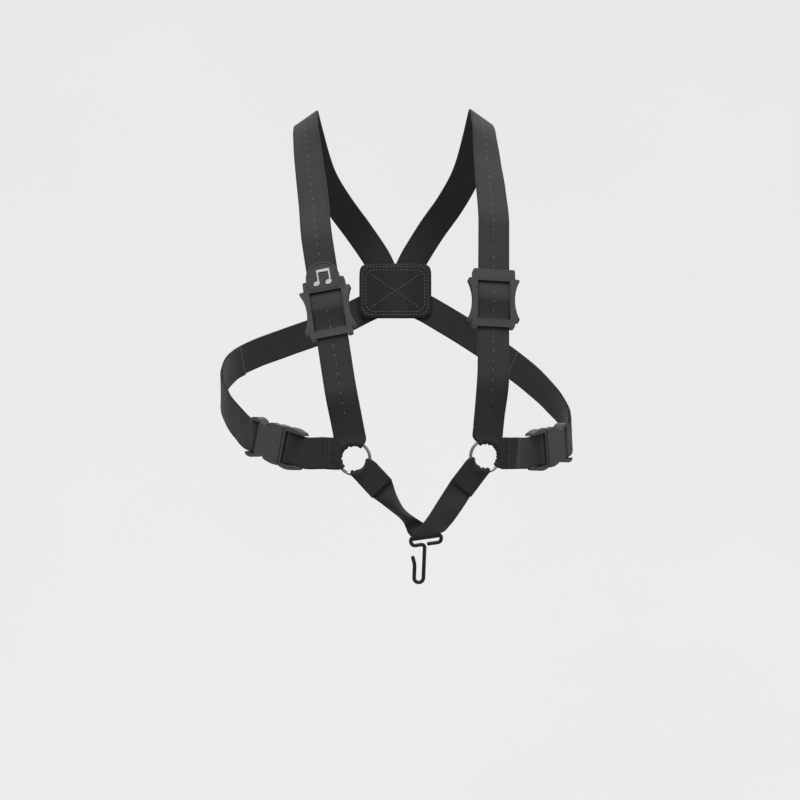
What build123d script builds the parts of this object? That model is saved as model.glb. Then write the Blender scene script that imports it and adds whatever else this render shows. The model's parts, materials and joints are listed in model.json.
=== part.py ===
from build123d import *
import os
from math import atan2, cos, degrees, radians, sin

# Saxophone harness as it sits on a wearer: two shoulder straps, a sewn back patch, side straps with
# release clips, two rings and a V strap that carries the hook.
# Millimetres. +X is the wearer's left, -Y the front, +Z up. The origin is the middle point between the
# two places where the straps lie on the shoulders.

# ---------------------------------------------------------------- driving dimensions
WEB_WIDTH = 25.0  # webbing
WEB_THICK = 1.3
SEWN_THICK = 2.9  # two layers sewn together
LAYER_LIFT = 0.75  # middle of one layer above or below the middle of a sewn pair
CLEARANCE = 0.3  # between parts that move on each other

RING_RADIUS = 12.8  # to the middle of the wire
RING_WIRE = 1.25
SLEEVE_RADIUS = RING_WIRE + CLEARANCE + WEB_THICK  # webbing wrapped round the ring wire

HOOK_WIRE = 1.5
HOOK_LOOP_HALF_WIDTH = 12.1  # middle of the wire
HOOK_LOOP_HALF_HEIGHT = 3.4
HOOK_LOOP_TILT = 8.0  # degrees, the wearer's left end up
HOOK_DROP = 33.7  # loop centre to the bottom of the bend, middle of the wire
HOOK_BEND_WIDTH = 7.3
HOOK_TIP_RISE = 19.6

SLIDER_TOP, SLIDER_FOOT = 27.0, -22.0  # above and below the middle bar
SLIDER_WINDOW = (26.0, 32.6)
SLIDER_WINDOW_RISE = 0.7
SLIDER_FRONT = 3.4  # front of the cover bars above the strap path
SLIDER_BACK = -3.9
SLIDER_BAR_RADIUS = 1.2
SLIDER_BAR_DEPTH = -3.1
TAB_RADIUS, TAB_RISE = 13.8, 28.2
TAB_FOOT = 19.0  # the tab lies on the top bar down to here

CLIP_LENGTH = 59.0
CLIP_GAP = 23.0  # where the two halves meet
CLIP_HALF_THICK = 4.7
CLIP_BAR_RADIUS = 1.8
CLIP_OPENING_HALF = 13.3
BASE_BAR_AT = 16.8
BASE_FLANGE_AT = 20.6  # end of the base's opening
LADDER_BAR_AT = 53.5

PATCH_SIZE = (66.0, 50.0)
PATCH_Z = -141.0

# ---------------------------------------------------------------- reference points
RING_CENTRE = {"right": Vector(-32.3, -123, -287.3), "left": Vector(72.6, -116, -285.7)}
HOOK_BAR = Vector(24.4, -128, -348.2)  # middle of the bar that the V strap goes round
SLIDER_CENTRE = {"right": Vector(-53.3, -104, -170), "left": Vector(79.6, -101, -162)}
FRONT_DOWN = {"right": Vector(19.9, -38.4, -120), "left": Vector(-2.2, -37, -124)}
FRONT_OUT = {"right": Vector(-0.12, -0.94, 0.30), "left": Vector(0.12, -0.94, 0.29)}
FRONT_REACH = {"right": (61.0, 66.0), "left": (66.0, 62.0)}  # straight run above and below the slider
CLIP_START = {"right": Vector(-72, -106.9, -283.5), "left": Vector(109.2, -82.5, -284)}
CLIP_END = {"right": Vector(-117.5, -71.9, -270), "left": Vector(144.6, -35.5, -276)}
V_SPLIT_Z = -303.0
V_SPLIT_HALF_GAP = 0.2
TORSO_HALF_WIDTH = 150.0
TORSO_FRONT = 120.0
TORSO_BACK = 105.0

SIDES = ("right", "left")
OUTWARD = {"right": -1, "left": 1}


# ---------------------------------------------------------------- helpers
def torso_normal(point):
    """Outward direction of the wearer's side at a point beside the chest."""
    depth = TORSO_FRONT if point.Y < 0 else TORSO_BACK
    return Vector(point.X / TORSO_HALF_WIDTH**2, point.Y / depth**2, 0).normalized()


def square_to(direction, along):
    """The part of a direction that is square to another, at unit length."""
    along = along.normalized()
    return (direction - along * direction.dot(along)).normalized()


def station_planes(stations):
    """Planes across a strap, one at each (point, outward direction): X across the strap, Y outward."""
    planes = []
    last = len(stations) - 1
    for index, (point, outward) in enumerate(stations):
        before = stations[max(index - 1, 0)][0]
        after = stations[min(index + 1, last)][0]
        along = Vector(0, 0, 0)
        if index > 0:
            along += (point - before).normalized()
        if index < last:
            along += (after - point).normalized()
        along = along.normalized()
        across = outward.cross(along).normalized()
        planes.append(Plane(origin=point, x_dir=across, z_dir=along))
    return planes


def webbing(stations, lift=0.0, thick=WEB_THICK, widths=None):
    """A flat strap through its stations, as one closed solid."""
    widths = widths or [WEB_WIDTH] * len(stations)
    with BuildPart() as strap:
        for plane, width in zip(station_planes(stations), widths):
            with BuildSketch(plane):
                with Locations((0, lift)):
                    Rectangle(width, thick)
        loft(ruled=True)
    return strap.part


def ring_frame(side):
    """The plane of a ring: Y points up its shoulder strap, Z out to the front."""
    centre = RING_CENTRE[side]
    up = (front_point(side, -FRONT_REACH[side][1]) - centre).normalized()
    down = HOOK_BAR - centre
    out = square_to(down.cross(up), up)
    if out.Y > 0:
        out = out * -1
    return Plane(origin=centre, x_dir=up.cross(out), z_dir=out)


def front_point(side, rise):
    """A point on the straight front run, so far above the slider's middle."""
    return SLIDER_CENTRE[side] - FRONT_DOWN[side].normalized() * rise


def slider_frame(side):
    """The slider's plane: X across the strap, Y up it, Z to the front."""
    up = FRONT_DOWN[side].normalized() * -1
    out = square_to(FRONT_OUT[side], up)
    return Plane(origin=SLIDER_CENTRE[side], x_dir=up.cross(out), z_dir=out)


def clip_frame(side):
    """The clip's plane: X from the ring towards the back, Z outward from the wearer."""
    along = CLIP_END[side] - CLIP_START[side]
    middle = (CLIP_END[side] + CLIP_START[side]) * 0.5
    return Plane(origin=CLIP_START[side], x_dir=along, z_dir=square_to(torso_normal(middle), along))


def ring_direction(side, angle):
    """A direction in a ring's plane, in degrees from its X."""
    frame = RING_FRAME[side]
    return frame.x_dir * cos(radians(angle)) + frame.y_dir * sin(radians(angle))


def ring_end(side, angle, half_arc, reach):
    """Webbing wrapped round a ring's wire over an arc, with its sewn double layer out to reach."""
    frame = RING_FRAME[side]
    spoke = ring_direction(side, angle)
    start = ring_direction(side, angle - half_arc)
    inner_half = RING_RADIUS * sin(radians(half_arc)) + 0.8
    with BuildPart() as end:
        with BuildSketch(Plane(origin=frame.origin, x_dir=start, z_dir=start.cross(frame.z_dir))):
            with Locations((RING_RADIUS, 0)):
                Circle(SLEEVE_RADIUS)
        revolve(axis=Axis(frame.origin, frame.z_dir), revolution_arc=2 * half_arc)
        with BuildSketch(Plane(origin=frame.origin, x_dir=spoke, z_dir=frame.z_dir)):
            with BuildLine():
                Polyline(
                    (RING_RADIUS, -inner_half),
                    (reach, -WEB_WIDTH / 2),
                    (reach, WEB_WIDTH / 2),
                    (RING_RADIUS, inner_half),
                    close=True,
                )
            make_face()
        extrude(amount=SEWN_THICK / 2, both=True)
        with BuildSketch(Plane(origin=frame.origin, x_dir=spoke, z_dir=spoke.cross(frame.z_dir))):
            with Locations((RING_RADIUS, 0)):
                Circle(RING_WIRE + CLEARANCE)
        revolve(axis=Axis(frame.origin, frame.z_dir), mode=Mode.SUBTRACT)
    return end.part


def bar_end(frame, bar_at, reach, bar_radius=CLIP_BAR_RADIUS):
    """Webbing folded round a clip's bar, its sewn double layer out to reach, both along the clip's X."""
    sleeve = bar_radius + CLEARANCE + WEB_THICK
    side_plane = Plane(origin=frame.origin, x_dir=frame.x_dir, z_dir=frame.y_dir * -1)
    with BuildPart() as end:
        with BuildSketch(side_plane):
            with Locations((bar_at, 0)):
                Circle(sleeve)
            with Locations(((bar_at + reach) / 2, 0)):
                Rectangle(abs(reach - bar_at), SEWN_THICK)
        extrude(amount=WEB_WIDTH / 2, both=True)
        with BuildSketch(side_plane):
            with Locations((bar_at, 0)):
                Circle(bar_radius + CLEARANCE)
        extrude(amount=WEB_WIDTH, both=True, mode=Mode.SUBTRACT)
    return end.part


def save(builder, name):
    """Labels a finished piece and writes its STEP file."""
    builder.part.label = name
    export_step(builder.part, f"parts/{name}.step")


os.makedirs("parts", exist_ok=True)
RING_FRAME = {side: ring_frame(side) for side in SIDES}
SLIDER_FRAME = {side: slider_frame(side) for side in SIDES}
CLIP_FRAME = {side: clip_frame(side) for side in SIDES}

# ---------------------------------------------------------------- strap routes
# Each station is a point on the strap's middle and the direction that its outer face looks.
SHOULDER_ROUTE = {
    "right": [
        (Vector(-67, -62, -77), Vector(-0.2, -0.8, 0.56)),
        (Vector(-72.5, -35, -38), Vector(-0.38, -0.55, 0.75)),
        (Vector(-76, -13, -9), Vector(-0.52, -0.3, 0.8)),
        (Vector(-76.5, 4, 0.7), Vector(-0.56, 0, 0.83)),
        (Vector(-73.5, 28, -13), Vector(-0.45, 0.5, 0.74)),
        (Vector(-64, 57, -44), Vector(-0.3, 0.74, 0.6)),
        (Vector(-50, 80, -66), Vector(-0.22, 0.85, 0.48)),
        (Vector(-33, 98, -88), Vector(-0.12, 0.96, 0.24)),
        (Vector(-19, 105.6, -108), Vector(0, 1, 0.05)),
    ],
    "left": [
        (Vector(79.2, -60, -66), Vector(0.22, -0.8, 0.56)),
        (Vector(77.3, -36, -38), Vector(0.38, -0.55, 0.75)),
        (Vector(75.2, -13, -8), Vector(0.52, -0.3, 0.8)),
        (Vector(74, 4, 1.8), Vector(0.56, 0, 0.83)),
        (Vector(71, 28, -12), Vector(0.45, 0.5, 0.74)),
        (Vector(62, 57, -43), Vector(0.3, 0.74, 0.6)),
        (Vector(49, 80, -65), Vector(0.22, 0.85, 0.48)),
        (Vector(32.5, 99, -87), Vector(0.12, 0.96, 0.24)),
        (Vector(19, 107.2, -108), Vector(0, 1, 0.05)),
    ],
}
PATCH_POINT = {"right": Vector(0, 106, PATCH_Z), "left": Vector(0, 107.6, PATCH_Z)}
BACK_ROUTE = {
    "left": [Vector(33, 106, -160), Vector(62, 98.5, -178), Vector(92, 81, -199), Vector(117, 57, -219)],
    "right": [Vector(-33, 107.6, -160), Vector(-63, 99, -175), Vector(-98, 79, -189), Vector(-126, 54, -201)],
}
BACK_ROUTE["left"] += [Vector(136, 30, -239), Vector(147, 6, -255.5)]
BACK_ROUTE["right"] += [Vector(-142, 27, -212), Vector(-148, 0, -226), Vector(-143, -29, -245)]
END_ROUTE = {"left": [Vector(150, -17, -269)], "right": [Vector(-130.5, -54, -261)]}
STUB_ROUTE = {"left": [Vector(100.5, -97, -284)], "right": [Vector(-61.5, -115.5, -284.5)]}


def torso_stations(points):
    """Stations that lie flat on the wearer's side or back."""
    return [(point, torso_normal(point)) for point in points]


# ---------------------------------------------------------------- shoulder straps
TOP_ANGLE, TOP_HALF_ARC, TOP_REACH = 90, 37, 22
for side in SIDES:
    frame = RING_FRAME[side]
    out = square_to(FRONT_OUT[side], FRONT_DOWN[side])
    above, below = FRONT_REACH[side]
    mitre = Vector(-OUTWARD[side], 0, -1).normalized()
    route = [(frame.origin + frame.y_dir * (TOP_REACH - 4), frame.z_dir)]
    route += [(frame.origin + frame.y_dir * (TOP_REACH + 6), frame.z_dir)]
    route += [(front_point(side, -below), out), (front_point(side, above), out)]
    route += SHOULDER_ROUTE[side]
    patch_end = (PATCH_POINT[side] - mitre * 0.2, Vector(0, 1, 0))
    planes = station_planes(route + [patch_end])
    planes[-1] = Plane(origin=patch_end[0], x_dir=Vector(0, 1, 0).cross(mitre), z_dir=mitre)
    with BuildPart() as shoulder_strap:
        for plane in planes:
            with BuildSketch(plane):
                with Locations((0, LAYER_LIFT if plane is not planes[-1] else 0)):
                    Rectangle(WEB_WIDTH, WEB_THICK)
        loft(ruled=True)
        add(ring_end(side, TOP_ANGLE, TOP_HALF_ARC, TOP_REACH))
    save(shoulder_strap, f"shoulder_strap_{side}")

    # The strap's end comes back up behind it and is sewn round the slider's middle bar.
    bar = SLIDER_FRAME[side]
    return_route = [(frame.origin + frame.y_dir * (TOP_REACH + 0.2), frame.z_dir)] + route[1:3]
    return_route += [(SLIDER_CENTRE[side], out)]
    with BuildPart() as adjuster_loop:
        add(webbing(return_route, lift=-LAYER_LIFT))
        across = Plane(origin=bar.origin + bar.z_dir * SLIDER_BAR_DEPTH, x_dir=bar.y_dir, z_dir=bar.x_dir)
        with BuildSketch(across):
            Circle(SLIDER_BAR_RADIUS + CLEARANCE + WEB_THICK)
        extrude(amount=WEB_WIDTH / 2, both=True)
        with BuildSketch(across):
            Circle(SLIDER_BAR_RADIUS + CLEARANCE)
        extrude(amount=WEB_WIDTH, both=True, mode=Mode.SUBTRACT)
    save(adjuster_loop, f"adjuster_loop_{side}")

# ---------------------------------------------------------------- back straps, from the patch to the clips
for side in SIDES:
    opposite = "left" if side == "right" else "right"
    start = PATCH_POINT[opposite]
    mitre = Vector(OUTWARD[side], 0, -1).normalized()
    stations = [(start + mitre * 0.2, Vector(0, 1, 0)), (BACK_ROUTE[side][0], Vector(0, 1, 0))]
    stations += torso_stations(BACK_ROUTE[side][1:])
    planes = station_planes(stations)
    planes[0] = Plane(origin=start + mitre * 0.2, x_dir=Vector(0, 1, 0).cross(mitre), z_dir=mitre)
    with BuildPart() as back_strap:
        for plane in planes:
            with BuildSketch(plane):
                Rectangle(WEB_WIDTH, WEB_THICK)
        loft(ruled=True)
    save(back_strap, f"back_strap_{side}")

    # The last stretch, which gathers up when the clip is pulled apart, and the loose tail inside it.
    clip = CLIP_FRAME[side]
    clip_out = (clip.origin + clip.x_dir * (LADDER_BAR_AT + 8), clip.z_dir)
    last = BACK_ROUTE[side][-1]
    toward = (END_ROUTE[side][-1] - last).normalized()
    flex = [clip_out] + torso_stations(END_ROUTE[side]) + [(last + toward * 2.5, torso_normal(last))]
    with BuildPart() as strap_end:
        add(bar_end(clip, LADDER_BAR_AT, LADDER_BAR_AT + 9))
        add(webbing(flex))
    save(strap_end, f"strap_end_{side}")

    tail_route = [(clip.origin + clip.x_dir * (LADDER_BAR_AT + 9.4), clip.z_dir)] + flex[1:2]
    tail_route += torso_stations(BACK_ROUTE[side][-1:-4:-1])
    with BuildPart() as strap_tail:
        add(webbing(tail_route, lift=-2.4))
    save(strap_tail, f"strap_tail_{side}")

# ---------------------------------------------------------------- back patch
for name, y_from, thick in (("back_patch_inner", 105.2, 1.6), ("back_patch_outer", 110.9, 1.6)):
    with BuildPart() as patch:
        with BuildSketch(Plane(origin=(0, y_from, PATCH_Z), x_dir=(1, 0, 0), z_dir=(0, -1, 0))):
            RectangleRounded(*PATCH_SIZE, 9)
        extrude(amount=thick)
    save(patch, name)

# ---------------------------------------------------------------- side straps, from ring to clip base
SIDE_ANGLE = {"right": 163, "left": 6}
SIDE_HALF_ARC, SIDE_REACH = 33, 19
for side in SIDES:
    clip = CLIP_FRAME[side]
    ring_out = ring_direction(side, SIDE_ANGLE[side])
    first = RING_CENTRE[side] + ring_out * (SIDE_REACH - 4)
    stations = [(first, RING_FRAME[side].z_dir), (first + ring_out * 6, RING_FRAME[side].z_dir)]
    stations += torso_stations(STUB_ROUTE[side])
    stations += [(clip.origin, clip.z_dir), (clip.origin + clip.x_dir * 5, clip.z_dir)]
    with BuildPart() as side_strap:
        add(webbing(stations, thick=SEWN_THICK - 0.3))
        add(ring_end(side, SIDE_ANGLE[side], SIDE_HALF_ARC, SIDE_REACH))
        add(bar_end(clip, BASE_BAR_AT, 3))
    save(side_strap, f"side_strap_{side}")

# ---------------------------------------------------------------- V strap
V_HALF_ARC, V_FOLD_REACH = 43, 33
LOOP_ALONG = Vector(cos(radians(HOOK_LOOP_TILT)), 0, sin(radians(HOOK_LOOP_TILT)))
LOOP_UP = Vector(-sin(radians(HOOK_LOOP_TILT)), 0, cos(radians(HOOK_LOOP_TILT)))
BIGHT_HALF = 9.6
BIGHT_INNER = HOOK_WIRE + CLEARANCE
LEG_DEPTH = {"right": BIGHT_INNER + WEB_THICK / 2, "left": -BIGHT_INNER - WEB_THICK / 2}


def v_angle(side):
    """Where in the ring's plane its leg of the V strap leaves."""
    frame = RING_FRAME[side]
    down = HOOK_BAR - frame.origin
    return degrees(atan2(down.dot(frame.y_dir), down.dot(frame.x_dir)))


def v_leg(side):
    """One leg of the V strap, from its sewn fold to the hook's bar."""
    frame = RING_FRAME[side]
    spoke = ring_direction(side, v_angle(side))
    fold = frame.origin + spoke * (V_FOLD_REACH - 4)
    foot = HOOK_BAR + Vector(0, LEG_DEPTH[side], 0)
    stations = [(fold, frame.z_dir), (fold + spoke * 8, frame.z_dir)]
    stations += [(foot + LOOP_UP * 16 + LOOP_ALONG * OUTWARD[side] * 8, Vector(0, -1, 0))]
    stations += [(foot + LOOP_UP * 3, Vector(0, -1, 0)), (foot - LOOP_UP * 0.5, Vector(0, -1, 0))]
    return webbing(stations, widths=[WEB_WIDTH, WEB_WIDTH, 21, 2 * BIGHT_HALF, 2 * BIGHT_HALF])


for side in SIDES:
    with BuildPart() as anchor:
        add(ring_end(side, v_angle(side), V_HALF_ARC, V_FOLD_REACH))
        split(bisect_by=Plane.XY.offset(V_SPLIT_Z + V_SPLIT_HALF_GAP), keep=Keep.TOP)
    save(anchor, f"v_strap_anchor_{side}")

with BuildPart() as v_strap:
    for side in SIDES:
        add(ring_end(side, v_angle(side), V_HALF_ARC, V_FOLD_REACH))
        add(v_leg(side))
    split(bisect_by=Plane.XY.offset(V_SPLIT_Z - V_SPLIT_HALF_GAP), keep=Keep.BOTTOM)
    with BuildSketch(Plane(origin=HOOK_BAR, x_dir=(0, 1, 0), z_dir=LOOP_ALONG)):
        Circle(BIGHT_INNER + WEB_THICK)
        Circle(BIGHT_INNER, mode=Mode.SUBTRACT)
        with Locations((0, BIGHT_INNER + WEB_THICK)):
            Rectangle(20, 2 * (BIGHT_INNER + WEB_THICK), mode=Mode.SUBTRACT)
    extrude(amount=BIGHT_HALF, both=True)
save(v_strap, "v_strap")

# ---------------------------------------------------------------- rings
for side in SIDES:
    frame = RING_FRAME[side]
    with BuildPart() as ring:
        with BuildSketch(Plane(origin=frame.origin, x_dir=frame.x_dir, z_dir=frame.y_dir * -1)):
            with Locations((RING_RADIUS, 0)):
                Circle(RING_WIRE)
        revolve(axis=Axis(frame.origin, frame.z_dir))
    save(ring, f"ring_{side}")

# ---------------------------------------------------------------- hook
SHANK_TOP, SHANK_FOOT = -1.0, -2.2  # the shank leans a little
hook_plane = Plane(origin=HOOK_BAR - LOOP_UP * HOOK_LOOP_HALF_HEIGHT, x_dir=(1, 0, 0), z_dir=(0, -1, 0))


def loop_corner(x_sign, y_sign, x=HOOK_LOOP_HALF_WIDTH):
    """A corner of the tilted wire loop, in the hook's plane."""
    tilt = radians(HOOK_LOOP_TILT)
    across, up = x_sign * x, y_sign * HOOK_LOOP_HALF_HEIGHT
    return (across * cos(tilt) - up * sin(tilt), across * sin(tilt) + up * cos(tilt))


with BuildPart() as hook:
    with BuildLine(hook_plane) as wire:
        FilletPolyline(
            loop_corner(1, -1, 1.6),
            loop_corner(1, -1),
            loop_corner(1, 1),
            loop_corner(-1, 1),
            loop_corner(-1, -1),
            (SHANK_TOP, -HOOK_LOOP_HALF_HEIGHT),
            (SHANK_FOOT, -HOOK_DROP),
            (SHANK_FOOT - HOOK_BEND_WIDTH, -HOOK_DROP),
            (SHANK_FOOT - HOOK_BEND_WIDTH + 0.5, -HOOK_DROP + HOOK_TIP_RISE - 5.5),
            (SHANK_FOOT - HOOK_BEND_WIDTH - 0.9, -HOOK_DROP + HOOK_TIP_RISE),
            radius=[3.2, 3.2, 3.2, 3.2, 2.4, 3.6, 3.4, 9],
        )
    with BuildSketch(Plane(origin=wire.line @ 0, z_dir=wire.line % 0)):
        Circle(HOOK_WIRE)
    sweep()
    with Locations(wire.line @ 0, wire.line @ 1):
        Sphere(HOOK_WIRE)
save(hook, "hook")

# ---------------------------------------------------------------- sliders
EAR_HALF, WAIST_HALF, BLOCK_HALF = 20.9, 17.1, 17.1
EAR_TOP, EAR_FOOT = 17.6, -15.0


def slider_body(side, with_tab):
    """A three-bar slider: cover bars in front of the strap, the middle bar behind it."""
    frame = SLIDER_FRAME[side]
    half_w, window_half = SLIDER_WINDOW[0] / 2, SLIDER_WINDOW[1] / 2
    with BuildPart() as slider:
        with BuildSketch(frame.offset(SLIDER_BACK)):
            with BuildLine():
                top = Line((0, SLIDER_TOP), (BLOCK_HALF - 1.6, SLIDER_TOP))
                corner = RadiusArc(top @ 1, (BLOCK_HALF, SLIDER_TOP - 1.6), 1.6)
                block = Polyline(corner @ 1, (BLOCK_HALF + 0.2, EAR_TOP + 1.5), (EAR_HALF - 0.9, EAR_TOP + 1.2))
                tip = ThreePointArc(block @ 1, (EAR_HALF, EAR_TOP + 0.2), (EAR_HALF - 0.5, EAR_TOP - 1.0))
                waist = ThreePointArc(
                    tip @ 1, (WAIST_HALF, (EAR_TOP + EAR_FOOT) / 2), (EAR_HALF - 0.5, EAR_FOOT + 1.0)
                )
                low_tip = ThreePointArc(
                    waist @ 1, (EAR_HALF, EAR_FOOT - 0.2), (EAR_HALF - 0.9, EAR_FOOT - 1.2)
                )
                foot = Polyline(low_tip @ 1, (BLOCK_HALF + 0.2, EAR_FOOT - 1.5), (BLOCK_HALF, SLIDER_FOOT + 1.6))
                low_corner = RadiusArc(foot @ 1, (BLOCK_HALF - 1.6, SLIDER_FOOT), 1.6)
                Line(low_corner @ 1, (0, SLIDER_FOOT))
                mirror(about=Plane.YZ)
            make_face()
            with Locations((0, SLIDER_WINDOW_RISE)):
                Rectangle(2 * half_w, 2 * window_half, mode=Mode.SUBTRACT)
        extrude(amount=SLIDER_FRONT - SLIDER_BACK)
        with BuildSketch(frame.offset(SLIDER_BACK - 1)):
            Rectangle(2 * half_w, 2 * SLIDER_TOP + 4)
        extrude(amount=2 * LAYER_LIFT - SLIDER_BACK + 1 + 0.2, mode=Mode.SUBTRACT)
        with BuildSketch(Plane(
            origin=frame.origin + frame.z_dir * SLIDER_BAR_DEPTH, x_dir=frame.y_dir, z_dir=frame.x_dir
        )):
            Circle(SLIDER_BAR_RADIUS)
        extrude(amount=half_w + 1, both=True)
        if with_tab:
            for level, rim, mode in ((-1.5, 0.0, Mode.ADD), (0.2, 1.1, Mode.SUBTRACT)):
                with BuildSketch(frame.offset(SLIDER_FRONT + level)):
                    with Locations((0, TAB_RISE)):
                        Circle(TAB_RADIUS - rim)
                    with Locations((0, TAB_FOOT - 10)):
                        Rectangle(60, 20, mode=Mode.SUBTRACT)
                extrude(amount=2.2, mode=mode)
    return slider


for side in SIDES:
    save(slider_body(side, with_tab=side == "right"), f"slider_{side}")

# A pair of joined quavers, a plain musical sign, sits on the tab.
NOTE_SPAN, NOTE_HEIGHT, NOTE_FOOT = 9.6, 11.6, 24.0
HEAD_HALF_LENGTH, HEAD_HALF_HEIGHT, STEM_WIDTH, BEAM_THICK = 2.7, 1.9, 1.2, 2.3
with BuildPart() as emblem:
    with BuildSketch(SLIDER_FRAME["right"].offset(SLIDER_FRONT + 0.2)):
        for stem_at in (-NOTE_SPAN / 2 + 1, NOTE_SPAN / 2 + 1):
            with Locations((stem_at - HEAD_HALF_LENGTH + STEM_WIDTH, NOTE_FOOT)):
                Ellipse(HEAD_HALF_LENGTH, HEAD_HALF_HEIGHT, rotation=20)
            with Locations((stem_at, NOTE_FOOT + NOTE_HEIGHT / 2)):
                Rectangle(STEM_WIDTH, NOTE_HEIGHT)
        with Locations((1, NOTE_FOOT + NOTE_HEIGHT - BEAM_THICK / 2)):
            Rectangle(NOTE_SPAN + STEM_WIDTH, BEAM_THICK)
    extrude(amount=0.6)
save(emblem, "slider_emblem")

# ---------------------------------------------------------------- release clips
TONGUE_HALF, CAVITY_HALF, CAVITY_INNER_HALF, CAVITY_HALF_THICK = 2.4, 13.5, 10.9, 2.9
ARM_HALF_THICK, ARM_ROOT_AT = 2.4, 24.8
WINDOW_FROM, WINDOW_TO, WINDOW_HALF_THICK = 31.0, 45.5, 3.2


def across_plane(frame, along, out=0.0):
    """A plane square to the clip's width, with its X along the clip and its Y outward."""
    origin = frame.origin + frame.x_dir * along + frame.z_dir * out
    return Plane(origin=origin, x_dir=frame.x_dir, z_dir=frame.y_dir * -1)


def clip_base(side):
    """The half on the ring side: two wings, the strap's bar, the body and the guide tongue."""
    frame = CLIP_FRAME[side]
    with BuildPart() as base:
        with BuildSketch(frame.offset(-CLIP_HALF_THICK + 0.7)):
            with BuildLine():
                shoulder = Polyline((CLIP_GAP, 0), (CLIP_GAP, 15.6), (20.5, 16.4))
                wing = ThreePointArc(shoulder @ 1, (13, 17), (6, 15.6))
                tip = ThreePointArc(wing @ 1, (3.6, 15), (2.6, 13.9))
                Line(tip @ 1, (2.6, 0))
                mirror(about=Plane.XZ)
            make_face()
            with Locations((BASE_FLANGE_AT / 2, 0)):
                Rectangle(BASE_FLANGE_AT, 2 * CLIP_OPENING_HALF, mode=Mode.SUBTRACT)
        extrude(amount=2 * CLIP_HALF_THICK - 1.4)
        with BuildSketch(across_plane(frame, BASE_BAR_AT)):
            Circle(CLIP_BAR_RADIUS)
        extrude(amount=CLIP_OPENING_HALF + 1, both=True)
        with BuildSketch(frame.offset(-ARM_HALF_THICK)):
            with Locations((CLIP_GAP + 0.5, 0)):
                Rectangle(1.4, 2 * CAVITY_HALF - 1.4)
            with Locations((CLIP_GAP + 10, 0)):
                Rectangle(21, 2 * TONGUE_HALF)
        extrude(amount=2 * ARM_HALF_THICK)
    return base


def prong_arm(side, sign):
    """One springy arm with the button that shows in the other half's side window."""
    with BuildPart() as arm:
        with BuildSketch(CLIP_FRAME[side].offset(-ARM_HALF_THICK)):
            with BuildLine():
                beam = Polyline((40, 9.8), (31, 9.2), (ARM_ROOT_AT, 8.2), (ARM_ROOT_AT, 12.4), (31.8, 12.7))
                rise = ThreePointArc(beam @ 1, (32.8, 15.2), (35.2, 15.9))
                button = ThreePointArc(rise @ 1, (40, 15.1), (43.0, 12.4))
                slope = Line(button @ 1, (45.6, 10.1))
                nose = ThreePointArc(slope @ 1, (46.1, 9.3), (45.2, 8.9))
                Line(nose @ 1, (40, 9.8))
            make_face()
            if sign < 0:
                mirror(about=Plane.XZ, mode=Mode.REPLACE)
        extrude(amount=2 * ARM_HALF_THICK)
    return arm


def clip_shell(side):
    """The half on the back strap's side: a hollow shell with side windows and the strap's ladder."""
    frame = CLIP_FRAME[side]
    with BuildPart() as shell:
        with BuildSketch(frame.offset(-CLIP_HALF_THICK)):
            with BuildLine():
                mouth = Polyline((CLIP_GAP + 0.4, 0), (CLIP_GAP + 0.4, 16.0), (29, 16.2))
                slope = ThreePointArc(mouth @ 1, (35, 15.2), (40, 13.2))
                notch = ThreePointArc(slope @ 1, (44, 12.6), (47.5, 14.3))
                lobe = ThreePointArc(notch @ 1, (53, 16.6), (57, 16.0))
                heel = ThreePointArc(lobe @ 1, (58.7, 14.9), (CLIP_LENGTH, 13.6))
                Line(heel @ 1, (CLIP_LENGTH, 0))
                mirror(about=Plane.XZ)
            make_face()
            with Locations((60, 0)):
                Rectangle(21, 2 * CLIP_OPENING_HALF, mode=Mode.SUBTRACT)
        extrude(amount=2 * CLIP_HALF_THICK)
        with BuildSketch(frame.offset(-CAVITY_HALF_THICK)):
            with Locations((CLIP_GAP + 11, 0)):
                Rectangle(23, 2 * CAVITY_HALF)
            with Locations((CLIP_GAP + 12, 0)):
                Rectangle(25, 2 * CAVITY_INNER_HALF)
        extrude(amount=2 * CAVITY_HALF_THICK, mode=Mode.SUBTRACT)
        with BuildSketch(frame.offset(-WINDOW_HALF_THICK)):
            with Locations(((WINDOW_FROM + WINDOW_TO) / 2, 0)):
                Rectangle(WINDOW_TO - WINDOW_FROM, 50)
        extrude(amount=2 * WINDOW_HALF_THICK, mode=Mode.SUBTRACT)
        with BuildSketch(across_plane(frame, LADDER_BAR_AT)):
            Circle(CLIP_BAR_RADIUS)
        with BuildSketch(across_plane(frame, 57.6, -4.1)):
            Rectangle(2, 1.2)
        extrude(amount=CLIP_OPENING_HALF + 1, both=True)
    return shell


for side in SIDES:
    save(clip_base(side), f"clip_base_{side}")
    save(clip_shell(side), f"clip_shell_{side}")
    for sign in (1, -1):
        level = "upper" if sign * OUTWARD[side] > 0 else "lower"
        save(prong_arm(side, sign), f"prong_{side}_{level}")
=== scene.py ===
import json
from math import atan2, cos, degrees, pi, radians, sin

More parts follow.
